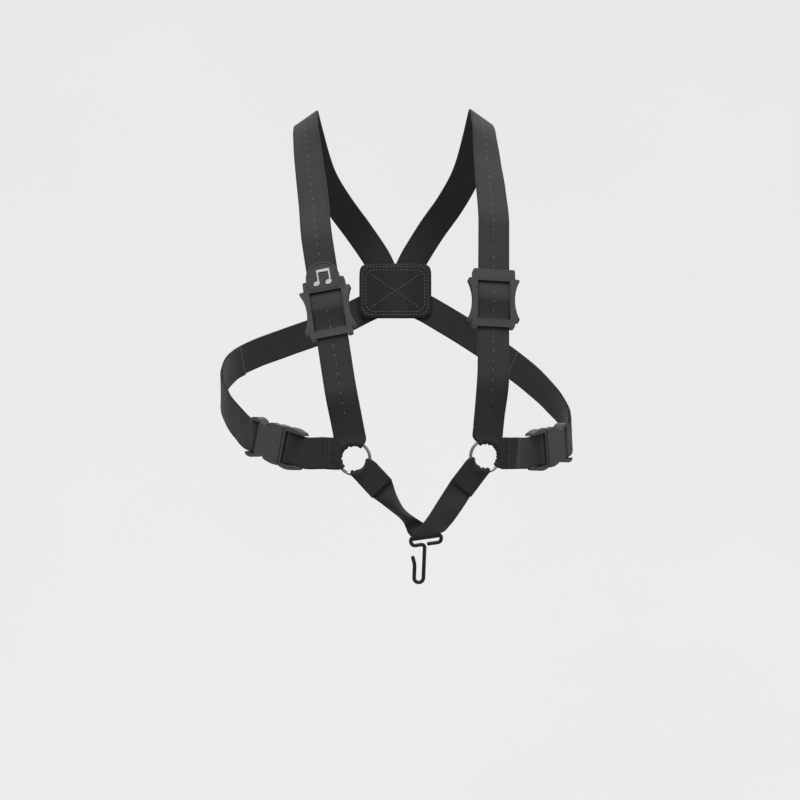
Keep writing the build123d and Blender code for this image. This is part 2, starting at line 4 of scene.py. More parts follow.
import bmesh
import bpy
import numpy as np
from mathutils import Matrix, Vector


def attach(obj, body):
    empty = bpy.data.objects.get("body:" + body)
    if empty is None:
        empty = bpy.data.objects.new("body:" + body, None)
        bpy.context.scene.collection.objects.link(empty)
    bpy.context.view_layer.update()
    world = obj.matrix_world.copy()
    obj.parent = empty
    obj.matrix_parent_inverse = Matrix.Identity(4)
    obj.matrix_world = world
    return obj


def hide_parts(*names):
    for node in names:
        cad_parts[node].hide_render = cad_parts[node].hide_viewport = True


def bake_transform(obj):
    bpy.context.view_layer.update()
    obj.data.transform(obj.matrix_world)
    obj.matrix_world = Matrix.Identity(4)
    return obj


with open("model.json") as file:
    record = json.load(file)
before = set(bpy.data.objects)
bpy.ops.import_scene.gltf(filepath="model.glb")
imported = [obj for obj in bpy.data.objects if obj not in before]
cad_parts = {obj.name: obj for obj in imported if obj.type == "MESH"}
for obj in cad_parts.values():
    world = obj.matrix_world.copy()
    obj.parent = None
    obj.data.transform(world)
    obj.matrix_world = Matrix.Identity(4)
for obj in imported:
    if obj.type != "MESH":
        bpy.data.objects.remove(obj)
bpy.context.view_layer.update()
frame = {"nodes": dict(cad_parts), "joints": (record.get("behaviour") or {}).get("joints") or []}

# Saxophone harness: webbing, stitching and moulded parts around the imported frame. Lengths below are in
# millimetres and become metres when a mesh is made. +X is the wearer's left, -Y the front, +Z up.
MM = 0.001
SIDES = ("right", "left")
OTHER = {"right": "left", "left": "right"}
JOINT = {joint["name"]: joint for joint in frame["joints"]}

WEB_HALF = 12.5  # half the webbing's width
WEB_THICK = 1.3
LAYER_LIFT = 0.75  # middle of one layer above the middle of a sewn pair
CLEARANCE = 0.3  # between webbing and the bar or wire that it goes round
RING_RADIUS, RING_WIRE = 12.8, 1.25  # radius of the ring's middle line, and of its wire
HOOK_WIRE, BIGHT_HALF = 1.5, 10.4  # radius of the hook's wire, half width of the webbing round it
SLIDER_BAR_DEPTH, SLIDER_BAR_RADIUS = -3.1, 1.2  # the middle bar, behind the strap's path
SLIDER_FOOT = -22.0  # the slider's lower end, from the middle bar
WINDOW_HALF_HEIGHT, WINDOW_RISE = 16.3, 0.7  # the slider's window, its middle above the bar
BASE_BAR_AT, LADDER_BAR_AT, CLIP_BAR_RADIUS = 16.8, 53.5, 1.8  # the clip's two bars, from CLIP_START
TORSO_HALF_WIDTH, TORSO_FRONT, TORSO_BACK = 150.0, 120.0, 105.0  # half axes of the chest's outline
PATCH_Z = -141.0


# ---------------------------------------------------------------- places and directions
def unit(vector):
    return vector / np.linalg.norm(vector, axis=-1, keepdims=True)


def vec(*values):
    return np.array(values, float)


def square_to(direction, along):
    """The part of a direction that is square to another, at unit length."""
    along = unit(along)
    return unit(direction - along * (direction @ along))


class Place:
    """A part's own plane: an origin in millimetres and three unit directions, from z and either x or y."""

    def __init__(self, origin, z, x=None, y=None):
        self.origin = np.array(origin, float)
        if x is None:
            x = np.cross(y, z)
        if y is None:
            y = np.cross(z, x)
        self.x, self.y, self.z = unit(x), unit(y), unit(z)

    def at(self, x=0.0, y=0.0, z=0.0):
        return self.origin + x * self.x + y * self.y + z * self.z


def torso_normal(point):
    """Outward direction of the chest's outline, level, at a point on it or near it."""
    depth = TORSO_FRONT if point[1] < 0 else TORSO_BACK
    return unit(vec(point[0] / TORSO_HALF_WIDTH**2, point[1] / depth**2, 0))


HOOK_BAR = np.array(JOINT["hook_swing"]["pos_m"]) / MM
LOOP_ALONG = -unit(np.array(JOINT["hook_swing"]["axis"]))
LOOP_UP = vec(-LOOP_ALONG[2], 0, LOOP_ALONG[0])
SLIDER_CENTRE = {"right": vec(-53.3, -104, -170), "left": vec(79.6, -101, -162)}
FRONT_OUT = {"right": vec(-0.12, -0.94, 0.30), "left": vec(0.12, -0.94, 0.29)}
FRONT_REACH = {"right": (61, 66), "left": (66, 62)}  # straight run above and below the slider
CLIP_START = {"right": vec(-72, -106.9, -283.5), "left": vec(109.2, -82.5, -284)}
CLIP_END = {"right": vec(-117.5, -71.9, -270), "left": vec(144.6, -35.5, -276)}
RING, SLIDER, CLIP, V_ANGLE = {}, {}, {}, {}
for side in SIDES:
    up = unit(np.array(JOINT[f"slider_{side}_slide"]["axis"]))
    SLIDER[side] = Place(SLIDER_CENTRE[side], y=up, z=square_to(FRONT_OUT[side], up))
    ring_joint = JOINT[f"ring_{side}_spin"]
    centre = np.array(ring_joint["pos_m"]) / MM
    strap_foot = SLIDER_CENTRE[side] - up * FRONT_REACH[side][1]
    RING[side] = Place(centre, y=strap_foot - centre, z=np.array(ring_joint["axis"]))
    along = CLIP_END[side] - CLIP_START[side]
    middle = (CLIP_END[side] + CLIP_START[side]) / 2
    CLIP[side] = Place(CLIP_START[side], x=along, z=square_to(torso_normal(middle), along))
    down = HOOK_BAR - centre
    V_ANGLE[side] = degrees(atan2(down @ RING[side].y, down @ RING[side].x))

# Routes: points on the wearer, with the outward direction where it isn't the chest's.
SHOULDER_ROUTE = {
    "right": [
        (vec(-67, -62, -77), vec(-0.2, -0.8, 0.56)),
        (vec(-72.5, -35, -38), vec(-0.38, -0.55, 0.75)),
        (vec(-76, -13, -9), vec(-0.52, -0.3, 0.8)),
        (vec(-76.5, 4, 0.7), vec(-0.56, 0, 0.83)),
        (vec(-73.5, 28, -13), vec(-0.45, 0.5, 0.74)),
        (vec(-64, 57, -44), vec(-0.3, 0.74, 0.6)),
        (vec(-50, 80, -66), vec(-0.22, 0.85, 0.48)),
        (vec(-33, 98, -88), vec(-0.12, 0.96, 0.24)),
        (vec(-19, 105.6, -108), vec(0, 1, 0.05)),
        (vec(0, 106, PATCH_Z), vec(0, 1, 0)),
    ],
    "left": [
        (vec(79.2, -60, -66), vec(0.22, -0.8, 0.56)),
        (vec(77.3, -36, -38), vec(0.38, -0.55, 0.75)),
        (vec(75.2, -13, -8), vec(0.52, -0.3, 0.8)),
        (vec(74, 4, 1.8), vec(0.56, 0, 0.83)),
        (vec(71, 28, -12), vec(0.45, 0.5, 0.74)),
        (vec(62, 57, -43), vec(0.3, 0.74, 0.6)),
        (vec(49, 80, -65), vec(0.22, 0.85, 0.48)),
        (vec(32.5, 99, -87), vec(0.12, 0.96, 0.24)),
        (vec(19, 107.2, -108), vec(0, 1, 0.05)),
        (vec(0, 107.6, PATCH_Z), vec(0, 1, 0)),
    ],
}
BACK_ROUTE = {
    "left": [vec(33, 106, -160), vec(62, 98.5, -178), vec(92, 81, -199), vec(117, 57, -219),
             vec(136, 30, -239), vec(147, 6, -255.5)],
    "right": [vec(-33, 107.6, -160), vec(-63, 99, -175), vec(-98, 79, -189), vec(-126, 54, -201),
              vec(-142, 27, -212), vec(-148, 0, -226), vec(-143, -29, -245)],
}
END_ROUTE = {"left": vec(150, -17, -269), "right": vec(-130.5, -54, -261)}
STUB_ROUTE = {"left": vec(100.5, -97, -284), "right": vec(-61.5, -115.5, -283.5)}


# ---------------------------------------------------------------- materials
def tint(shade, factor):
    """A shade made darker or lighter."""
    return tuple(factor * value for value in shade)


class Nodes:
    """Builds a material's node tree, one call per node."""

    def __init__(self, name):
        self.material = bpy.data.materials.new(name)
        self.material.use_nodes = True
        self.tree = self.material.node_tree
        self.shader = self.tree.nodes["Principled BSDF"]

    def add(self, kind, settings=None, **inputs):
        """A new node. Its inputs are given by name, or by number as i0, i1 and so on."""
        node = self.tree.nodes.new(kind)
        for key, value in (settings or {}).items():
            setattr(node, key, value)
        for key, value in inputs.items():
            numbered = key[0] == "i" and key[1:].isdigit()
            self.put(node.inputs[int(key[1:]) if numbered else key], value)
        return node

    def object_place(self):
        return self.add("ShaderNodeTexCoord").outputs["Object"]

    def put(self, socket, value):
        if isinstance(value, bpy.types.NodeSocket):
            self.tree.links.new(value, socket)
        else:
            socket.default_value = value

    def math(self, operation, a, b=0.0):
        return self.add("ShaderNodeMath", {"operation": operation}, i0=a, i1=b).outputs[0]

    def noise(self, where, scale, detail=3.0, roughness=0.6):
        node = self.add("ShaderNodeTexNoise", Vector=where, Scale=scale, Detail=detail, Roughness=roughness)
        return node.outputs["Fac"]

    def ramp(self, value, low, high):
        """A grey ramp between two (position, grey) stops."""
        node = self.add("ShaderNodeValToRGB", Fac=value)
        for element, (position, grey) in zip(node.color_ramp.elements, (low, high)):
            element.position = position
            element.color = (grey, grey, grey, 1.0)
        return node.outputs["Color"]

    def mix(self, factor, first, second):
        """A blend of two colours, each a node's output or three numbers."""
        first, second = (
            value if isinstance(value, bpy.types.NodeSocket) else (*value, 1.0) for value in (first, second)
        )
        node = self.add("ShaderNodeMix", {"data_type": "RGBA"}, i0=factor, i6=first, i7=second)
        return node.outputs[2]

    def bump(self, height, distance, strength=1.0):
        node = self.add("ShaderNodeBump", Height=height, Distance=distance, Strength=strength)
        return node.outputs["Normal"]

    def finish(self, **sockets):
        for key, value in sockets.items():
            self.put(self.shader.inputs[key.replace("_", " ")], value)
        return self.material


def webbing_material(name, shade, across=0.62, along=0.78):
    """Plain woven webbing. The weave map and the ribs' spacings, across and along, are in millimetres."""
    nodes = Nodes(name)
    uv = nodes.add("ShaderNodeUVMap", {"uv_map": "weave"}).outputs["UV"]
    parts = nodes.add("ShaderNodeSeparateXYZ", i0=uv)
    place = nodes.object_place()
    wander = nodes.noise(place, 90.0, 2.0)
    u = nodes.math("MULTIPLY", parts.outputs["X"], pi / across)
    v = nodes.math("MULTIPLY", parts.outputs["Y"], pi / along)
    v = nodes.math("ADD", v, nodes.math("MULTIPLY", wander, 1.2))
    ribs = nodes.math("MULTIPLY", nodes.math("COSINE", u), nodes.math("COSINE", v))
    columns = nodes.math("ABSOLUTE", nodes.math("COSINE", nodes.math("MULTIPLY", u, 0.5)))
    fibre = nodes.noise(uv, 9.0, 4.0, 0.7)
    height = nodes.math("ADD", nodes.math("MULTIPLY", ribs, 0.5), nodes.math("MULTIPLY", columns, 0.45))
    height = nodes.math("ADD", height, nodes.math("MULTIPLY", fibre, 0.5))
    edge = nodes.math("ABSOLUTE", parts.outputs["X"])
    selvedge = nodes.ramp(nodes.math("DIVIDE", edge, WEB_HALF), (0.80, 0.0), (0.93, 1.0))
    patches = nodes.noise(place, 22.0, 4.0)
    dark = tint(shade, 0.72)
    woven = nodes.mix(nodes.ramp(height, (0.05, 0.0), (0.95, 1.0)), dark, tint(shade, 1.75))
    worn = nodes.mix(nodes.ramp(patches, (0.35, 0.55), (0.75, 1.0)), dark, woven)
    colour = nodes.mix(nodes.math("MULTIPLY", selvedge, 0.55), worn, tint(shade, 0.6))
    rough = nodes.ramp(fibre, (0.3, 0.66), (0.75, 0.9))
    return nodes.finish(
        Base_Color=colour, Roughness=rough, Normal=nodes.bump(height, 0.00022, 0.85),
        Sheen_Weight=0.14, Sheen_Roughness=0.45, Specular_IOR_Level=0.26,
    )


def thread_material(name, low, high):
    """Twisted thread, between two greys."""
    nodes = Nodes(name)
    place = nodes.object_place()
    twist = nodes.noise(place, 2600.0, 2.0)
    colour = nodes.mix(twist, (low,) * 3, (high,) * 3)
    return nodes.finish(
        Base_Color=colour, Roughness=0.62, Normal=nodes.bump(twist, 0.0001), Sheen_Weight=0.2,
    )


def plastic_material(name, shade, roughness, specular):
    """Moulded plastic: fine spark-eroded grain, faint flow marks, and a painted highlight that lightens the
    sharp edges.
    """
    nodes = Nodes(name)
    place = nodes.object_place()
    pits = nodes.noise(place, 1500.0, 2.0)
    flow = nodes.noise(place, 60.0, 3.0)
    scuff = nodes.noise(place, 420.0, 5.0, 0.75)
    point = nodes.add("ShaderNodeNewGeometry").outputs["Pointiness"]
    # Painted highlight: the colour is lightened along sharp edges, where the chamfers catch the light.
    edges = nodes.ramp(point, (0.50, 0.0), (0.56, 1.0))
    body = nodes.mix(flow, tint(shade, 0.8), tint(shade, 1.25))
    painted_edge_highlight = nodes.mix(nodes.math("MULTIPLY", edges, 0.55), body, tint(shade, 2.3))
    marks = nodes.ramp(scuff, (0.63, 0.0), (0.72, 0.35))
    colour = nodes.mix(marks, painted_edge_highlight, tint(shade, 1.9))
    rough = nodes.ramp(scuff, (0.3, roughness - 0.07), (0.7, roughness + 0.09))
    return nodes.finish(
        Base_Color=colour, Roughness=rough, Normal=nodes.bump(pits, 0.00006, 0.5),
        Specular_IOR_Level=specular,
    )


def nickel_material(name, shade, roughness):
    """Plated metal with a faint haze and a few dull spots."""
    nodes = Nodes(name)
    place = nodes.object_place()
    spots = nodes.noise(place, 500.0, 4.0, 0.7)
    haze = nodes.noise(place, 60.0, 3.0)
    colour = nodes.mix(nodes.ramp(spots, (0.55, 0.0), (0.75, 0.6)), shade, tint(shade, 0.55))
    rough = nodes.ramp(haze, (0.3, roughness), (0.75, roughness + 0.16))
    return nodes.finish(
        Base_Color=colour, Metallic=1.0, Roughness=rough, Normal=nodes.bump(spots, 0.00003, 0.4),
    )


def coating_material():
    """Satin black coating on the hook, thinned to metal in a few specks where a ring has worn it."""
    nodes = Nodes("hook_coating")
    place = nodes.object_place()
    orange_peel = nodes.noise(place, 900.0, 2.0)
    chips = nodes.ramp(nodes.noise(place, 330.0, 5.0, 0.8), (0.69, 0.0), (0.72, 0.8))
    colour = nodes.mix(chips, (0.007, 0.007, 0.0075), (0.12, 0.116, 0.11))
    rough = nodes.ramp(orange_peel, (0.3, 0.3), (0.7, 0.44))
    return nodes.finish(
        Base_Color=colour, Roughness=rough, Normal=nodes.bump(orange_peel, 0.00008, 0.5),
        Specular_IOR_Level=0.28, Coat_Weight=0.12, Coat_Roughness=0.25,
    )


WEBBING = webbing_material("black_webbing", (0.0155, 0.0155, 0.0160))
PATCH = webbing_material("patch_cloth", (0.013, 0.013, 0.0135), 1.1, 1.1)
THREAD = thread_material("grey_thread", 0.03, 0.11)
DARK_THREAD = thread_material("black_thread", 0.010, 0.034)
PLASTIC = plastic_material("moulded_black_plastic", (0.015, 0.015, 0.0155), 0.42, specular=0.3)
CLIP_PLASTIC = plastic_material("clip_grey_black_plastic", (0.030, 0.030, 0.032), 0.46, specular=0.36)
NICKEL = nickel_material("nickel_plate", (0.27, 0.26, 0.245), 0.18)
EMBLEM = nickel_material("silver_foil", (0.30, 0.297, 0.297), 0.42)
COATING = coating_material()


# ---------------------------------------------------------------- mesh helpers
def mesh_object(name, points, faces, material, maps=None, flat_from=None):
    """A mesh from points in millimetres. maps holds one weave coordinate for each point. Faces are shaded
    smooth, apart from those after flat_from."""
    mesh = bpy.data.meshes.new(name)
    mesh.from_pydata((np.asarray(points) * MM).tolist(), [], faces)
    if maps is not None:
        layer = mesh.uv_layers.new(name="weave")
        corners = np.empty(len(mesh.loops), int)
        mesh.loops.foreach_get("vertex_index", corners)
        layer.data.foreach_set("uv", np.asarray(maps)[corners].astype(np.float32).ravel())
    smooth = len(faces) if flat_from is None else flat_from
    mesh.polygons.foreach_set("use_smooth", [index < smooth for index in range(len(faces))])
    mesh.materials.append(material)
    work = bmesh.new()
    work.from_mesh(mesh)
    bmesh.ops.recalc_face_normals(work, faces=work.faces)
    work.to_mesh(mesh)
    work.free()
    made = bpy.data.objects.new(name, mesh)
    bpy.context.scene.collection.objects.link(made)
    return made


def spline(points, spacing):
    """A smooth curve through the points, and where on it each sample lies (0 to the last point's index)."""
    points = np.array(points, float)
    chord = np.linalg.norm(np.diff(points, axis=0), axis=1)
    knots = np.concatenate([[0], np.cumsum(chord)])
    slopes = np.gradient(points, knots, axis=0)
    steps = np.maximum(2, np.ceil(chord / spacing).astype(int))
    pieces = [np.linspace(k, k + 1, count, endpoint=False) for k, count in enumerate(steps)]
    where = np.concatenate([*pieces, [len(steps)]])
    index = np.minimum(where.astype(int), len(steps) - 1)
    t = (where - index)[:, None]
    span = chord[index][:, None]
    a, b = points[index], points[index + 1]
    curve = (2 * t**3 - 3 * t**2 + 1) * a + (t**3 - 2 * t**2 + t) * span * slopes[index]
    curve += (3 * t**2 - 2 * t**3) * b + (t**3 - t**2) * span * slopes[index + 1]
    return curve, where


def between(values, where):
    """Values given at whole steps, eased between them."""
    values = np.array(values, float)
    index = np.minimum(where.astype(int), len(values) - 2)
    t = where - index
    t = t * t * (3 - 2 * t)
    if values.ndim > 1:
        t = t[:, None]
    return values[index] * (1 - t) + values[index + 1] * t


def hump(x, at, width):
    """A smooth rise to 1 at a place, gone within about twice its width."""
    return np.exp(-(((x - at) / width) ** 2))


ACROSS = np.linspace(-1, 1, 41)  # the webbing's columns, as shares of its half width
SAME_ROW = 0.05  # rows of webbing that are closer than this count as one


def strip(stations, spacing=2.0, lift=0.0, half=WEB_HALF, span=None):
    """Rows of points over a strap that runs through (point, outward direction) stations. span keeps only
    the rows between two places, counted in stations."""
    centre, where = spline([point for point, _ in stations], spacing)
    out = between([unit(np.asarray(o, float)) for _, o in stations], where)
    along = unit(np.gradient(centre, axis=0))
    out = unit(out - along * np.sum(out * along, axis=1, keepdims=True))
    across = np.cross(out, along)
    rows = (centre + out * lift)[:, None] + across[:, None] * (half * ACROSS)[None, :, None]
    if span:
        first, last = span
        rows = rows[(where >= first) & (where <= last)]
    return rows


def bulge(notches):
    """How far each column of gathered webbing stands off its ring, as a share: sharp notches, each given as
    (place, depth, width), with a raised lip on both sides."""
    level, lip = 0.55, 0.3
    off = np.full(len(ACROSS), level)
    for at, depth, width in notches:
        away = np.abs(ACROSS - at)
        off -= level * depth * np.clip(1 - away / width, 0, 1) ** 0.8
        off += lip * depth * hump(away, 1.2 * width, 0.5 * width)
    return np.clip(off, 0, 1)


WRAP_ROWS = 13  # rows round the wire, and on each side of it
WRAP_FLAT = 7  # the strap runs on straight for this far beyond a wrap
WRAP_TIGHT = RING_WIRE + CLEARANCE + 0.4  # from the wire's middle to the tightest gather's
WRAP_LOOSE = 1.3  # how much further off the fullest gather stands
FLARE, SETTLE = 6.0, 8.0  # from the wire, the webbing reaches full width and lies flat within these
CREASE, CREASE_LEVEL, CREASE_FADE = 0.9, 0.6, 1.6  # creases beyond the gathers: height, level, power


def ring_wrap(place, angle, half_arc, reach, notches, shift=0.0, halves=(WEB_HALF, WEB_HALF), rise=0.0):
    """Rows of webbing gathered round a ring's wire: from the flat back layer at reach, through the hole,
    to the flat front layer. halves are the back and front layers' half widths. The strap leaves the
    ring at an angle, with its middle above the ring's by rise; the gathers are centred shift degrees from
    that angle."""
    stand = bulge(notches)
    theta = np.radians(angle + shift + half_arc * ACROSS)
    spoke = place.x * cos(radians(angle)) + place.y * sin(radians(angle))
    tangent = np.cross(place.z, spoke)
    aside = rise if tangent[2] > 0 else -rise
    radial = np.cos(theta)[:, None] * place.x + np.sin(theta)[:, None] * place.y
    wire = place.origin + RING_RADIUS * radial

    def around(phi):
        loose = max(0.0, sin(radians(phi - 90))) ** 2
        edge = np.cos(radians(phi)) * radial + np.sin(radians(phi)) * place.z
        return wire + (WRAP_TIGHT + WRAP_LOOSE * stand * loose)[:, None] * edge

    def leaving(face, half):
        """From the wire's front or back out to the flat layer."""
        start = around(90 if face > 0 else 270) - place.origin
        out, side = start @ spoke, start @ tangent
        made = []
        for t in np.linspace(0, 1, WRAP_ROWS)[1:]:
            along = out + (reach - out) * t
            spread = 1 - (1 - np.clip((along - out) / FLARE, 0, 1)) ** 2
            raised = (1 - np.clip((along - out) / SETTLE, 0, 1)) ** 2
            level = LAYER_LIFT + (WRAP_TIGHT - LAYER_LIFT) * raised
            level = level + (stand - CREASE_LEVEL) * CREASE * (1 - t) ** CREASE_FADE * min(1.0, 6 * t)
            lateral = side + (half * ACROSS + aside - side) * spread
            made.append(
                place.origin + along[:, None] * spoke + lateral[:, None] * tangent
                + (face * level)[:, None] * place.z
            )
        return made

    rows = leaving(-1, halves[0])[::-1]
    rows += [around(phi) for phi in np.linspace(270, 90, WRAP_ROWS)]
    rows += leaving(1, halves[1])
    return np.array(rows)


def ribbon(edges, bows):
    """Rows between two edge lines, given as pairs of points. Each pair's rows bow forward by its bow."""
    both, where = spline([np.concatenate(pair) for pair in edges], spacing=2.1)
    share = (ACROSS[None, :, None] + 1) / 2
    bow = between(bows, where)[:, None, None] * (1 - ACROSS[None, :, None] ** 2)
    return both[:, None, :3] * (1 - share) + both[:, None, 3:] * share + vec(0, -1, 0) * bow


BAR_ROWS = 11


def bar_wrap(centre, forward, out, across, radius, half=WEB_HALF, start=90):
    """Rows of webbing round a straight bar, from the out side past forward to the other side."""
    rows = []
    for phi in np.radians(np.linspace(start, -90, BAR_ROWS)):
        edge = forward * cos(phi) + out * sin(phi)
        rows.append(centre + radius * edge + (ACROSS * half)[:, None] * across)
    return np.array(rows)


SWELL, SWELL_AT, SWELL_WIDTH = 0.10, 0.9, 0.06  # thicker selvedges, as shares of thickness and half width
DIP, DIP_WIDTH = 0.16, 0.05  # the crease down the middle
EDGE_THIN, EDGE_OUT = 0.5, 0.28  # the rounded edge: its share of the thickness, how far it stands out
EDGE_MAP = 1.02  # the edge's place on the weave map, as a share of the half width


class Web:
    """A piece of webbing: rows of points over its middle, with normals, length along it and thickness."""

    def __init__(self, *grids, thick=WEB_THICK):
        joined = [grids[0]]
        for grid in grids[1:]:
            same = (grid[0, -1] - grid[0, 0]) @ (joined[-1][-1, -1] - joined[-1][-1, 0]) > 0
            joined.append(grid if same else grid[:, ::-1])
        grid = np.concatenate(joined)
        keep = np.ones(len(grid), bool)
        centre = grid[:, len(ACROSS) // 2]
        keep[1:] = np.linalg.norm(np.diff(centre, axis=0), axis=1) > SAME_ROW
        self.grid = grid[keep]
        centre = centre[keep]
        self.length = np.concatenate([[0], np.cumsum(np.linalg.norm(np.diff(centre, axis=0), axis=1))])
        rows, columns = np.gradient(self.grid, axis=0), np.gradient(self.grid, axis=1)
        self.normal = unit(np.cross(columns, rows))
        self.thick = thick

    def build(self, name, material=WEBBING):
        """The closed solid, with rounded, slightly thicker selvedges and a faint crease down the middle."""
        half = self.thick / 2 * (1 + SWELL * hump(np.abs(ACROSS), SWELL_AT, SWELL_WIDTH))
        half = half * (1 - DIP * hump(ACROSS, 0, DIP_WIDTH))
        half[[0, -1]] *= EDGE_THIN
        top = self.grid + self.normal * half[None, :, None]
        low = self.grid - self.normal * half[None, :, None]
        last = self.grid[:, -1] + unit(self.grid[:, -1] - self.grid[:, -2]) * EDGE_OUT
        first = self.grid[:, 0] + unit(self.grid[:, 0] - self.grid[:, 1]) * EDGE_OUT
        loop = np.concatenate([top, last[:, None], low[:, ::-1], first[:, None]], axis=1)
        rows, around = loop.shape[:2]
        n = len(ACROSS)
        u = np.concatenate([ACROSS, [EDGE_MAP], ACROSS[::-1], [-EDGE_MAP]]) * WEB_HALF
        maps = np.stack([np.tile(u, rows), np.repeat(self.length, around)], axis=1)
        faces = []
        for i in range(rows - 1):
            a, b = i * around, (i + 1) * around
            faces += [(a + j, a + (j + 1) % around, b + (j + 1) % around, b + j) for j in range(around)]
        caps_from = len(faces)
        for i in (0, rows - 1):
            a = i * around
            faces += [(a + j, a + j + 1, a + 2 * n - 1 - j, a + 2 * n - j) for j in range(n - 1)]
            faces += [(a + n - 1, a + n, a + n + 1), (a + 2 * n, a + 2 * n + 1, a)]
        return mesh_object(name, loop.reshape(-1, 3), faces, material, maps, caps_from)

    def on(self, length, share, lift=0.0):
        """A point lifted off the middle surface and the normal there, at a length along the webbing and a
        share of its half width."""
        row = np.interp(length, self.length, np.arange(len(self.length)))
        column = (share + 1) / 2 * (len(ACROSS) - 1)
        i, j = min(int(row), len(self.grid) - 2), min(int(column), len(ACROSS) - 2)
        s, t = row - i, column - j

        def sample(values):
            return (
                values[i, j] * (1 - s) * (1 - t) + values[i + 1, j] * s * (1 - t)
                + values[i, j + 1] * (1 - s) * t + values[i + 1, j + 1] * s * t
            )

        normal = unit(sample(self.normal))
        return sample(self.grid) + normal * lift, normal


BEAD = ((0.0, 0.25), (0.12, 0.85), (0.5, 1.0), (0.88, 0.85), (1.0, 0.25))  # (place along it, thickness)
BEAD_SIDES = 6
BEAD_SINK = 0.12  # how far a stitch's ends sink into the cloth
SEAM_SINK = 0.02  # how far a stitch's middle line lies inside the face
CENTRE_SEAM = 0.02  # share of the half width from the middle to the centre stitching


def stitches(name, seams, radius=0.26, material=DARK_THREAD):
    """Thread stitches: one slim rounded bead for each (start point, end point, normal)."""
    points, faces = [], []
    for start, end, normal in seams:
        along = unit(end - start)
        across = np.cross(normal, along)
        base = len(points)
        for share, size in BEAD:
            middle = start + (end - start) * share
            sink = BEAD_SINK * (1 - size)
            for k in range(BEAD_SIDES):
                turn = 2 * pi * k / BEAD_SIDES
                offset = across * cos(turn) + normal * sin(turn)
                points.append(middle + offset * radius * size - normal * sink)
        last = base + (len(BEAD) - 1) * BEAD_SIDES
        for ring in range(base, last, BEAD_SIDES):
            for k in range(BEAD_SIDES):
                a, b = ring + k, ring + (k + 1) % BEAD_SIDES
                faces.append((a, b, b + BEAD_SIDES, a + BEAD_SIDES))
        faces += [tuple(range(end_ring, end_ring + BEAD_SIDES)) for end_ring in (base, last)]
    return mesh_object(name, points, faces, material)


def facing(web, at, toward):
    """Which face of a web looks towards a direction at a length along it: 1 for the normal's, or -1."""
    _, normal = web.on(at, 0.0)
    return 1 if normal @ toward > 0 else -1


def seam(web, toward, ends, pitch, fill):
    """Evenly spaced stitches between two (length along, share of the half width) places, on the face that
    looks towards a direction at the first one. Each stitch fills a share of its pitch."""
    first, last = (np.array(end, float) for end in ends)
    count = int(round(np.abs(last - first) @ (1, WEB_HALF) / pitch))
    step = (last - first) / count
    face = facing(web, first[0], toward)
    lift = face * (web.thick / 2 - SEAM_SINK)
    made = []
    for k in range(count):
        start, normal = web.on(*(first + step * k), lift)
        end, _ = web.on(*(first + step * (k + fill)), lift)
        made.append((start, end, normal * face))
    return made


def seam_along(web, start, end, toward, pitch=8.0):
    """A line of short stitches down the middle."""
    return seam(web, toward, ((start, CENTRE_SEAM), (end, CENTRE_SEAM)), pitch, fill=0.3)


def seams_across(web, lengths, toward, reach=0.86):
    """A row of close stitches across the webbing at each of the lengths."""
    rows = [seam(web, toward, ((at, -reach), (at, reach)), pitch=2.6, fill=0.7) for at in lengths]
    return sum(rows, [])


# ---------------------------------------------------------------- long straps, over the shoulder to the back
# A wrap's reach is from the ring's middle to where the strap is flat, its half arc and shift are in degrees,
# and each of its notches is (place across, depth, width).
TOP_REACH, TOP_HALF_ARC = 22.0, 42.0
BEND_SPAN = 2.0  # the straight run past the slider bends into the route within this
CENTRE_SEAM_FROM = 40  # length at which the centre stitching starts, clear of the ring's gathers
CENTRE_SEAM_INSET = 6  # from its end to the strap's
TOP_SHIFT = {"right": -4.0, "left": -7.0}
TOP_NOTCHES = {
    "right": [(0.42, 1.0, 0.22), (-0.45, 0.35, 0.4)],
    "left": [(0.12, 1.0, 0.2), (-0.5, 0.45, 0.3), (0.62, 0.35, 0.3)],
}
LOOP_THICK, ARCH_THICK = WEB_THICK - 0.15, WEB_THICK - 0.3  # pulled tight at the slider
WINDOW_TUCK = 0.4  # the arch runs on this far past the window's edges
# The arch in the window: (place up it, from -1 to 1; how far it stands forward).
ARCH = ((-1.0, -0.1), (-0.7, 0.5), (-0.3, 2.2), (0.06, 3.9), (0.45, 2.8), (0.78, 0.9), (1.0, -0.1))


def torso_stations(points):
    """Points on the wearer, with the chest's outward direction at each."""
    return [(point, torso_normal(point)) for point in points]


def long_strap(side):
    """From the ring up the front, over the shoulder, across the back to the other side."""
    ring, slider = RING[side], SLIDER[side]
    above, below = FRONT_REACH[side]
    run = [(ring.at(y=TOP_REACH), ring.z), (ring.at(y=TOP_REACH + WRAP_FLAT), ring.z)]
    heights = (-below, BEND_SPAN - below, -below / 2, 0, above / 2, above - BEND_SPAN, above)
    run += [(slider.at(y=height), slider.z) for height in heights]
    back = BACK_ROUTE[OTHER[side]]
    run += SHOULDER_ROUTE[side] + [(back[0], vec(0, 1, 0))] + torso_stations(back[1:])
    wrap = ring_wrap(ring, 90, TOP_HALF_ARC, TOP_REACH, TOP_NOTCHES[side], TOP_SHIFT[side])
    web = Web(wrap, strip(run, lift=LAYER_LIFT, span=(0, len(run) - 2)))
    piece = web.build(f"long_strap_{side}")
    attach(piece, "harness")
    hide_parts(f"shoulder_strap_{side}", f"back_strap_{OTHER[side]}")
    centre_seam = seam_along(web, CENTRE_SEAM_FROM, web.length[-1] - CENTRE_SEAM_INSET, slider.z)
    thread = stitches(f"long_strap_seam_{side}", centre_seam, radius=0.3, material=THREAD)
    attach(thread, "harness")


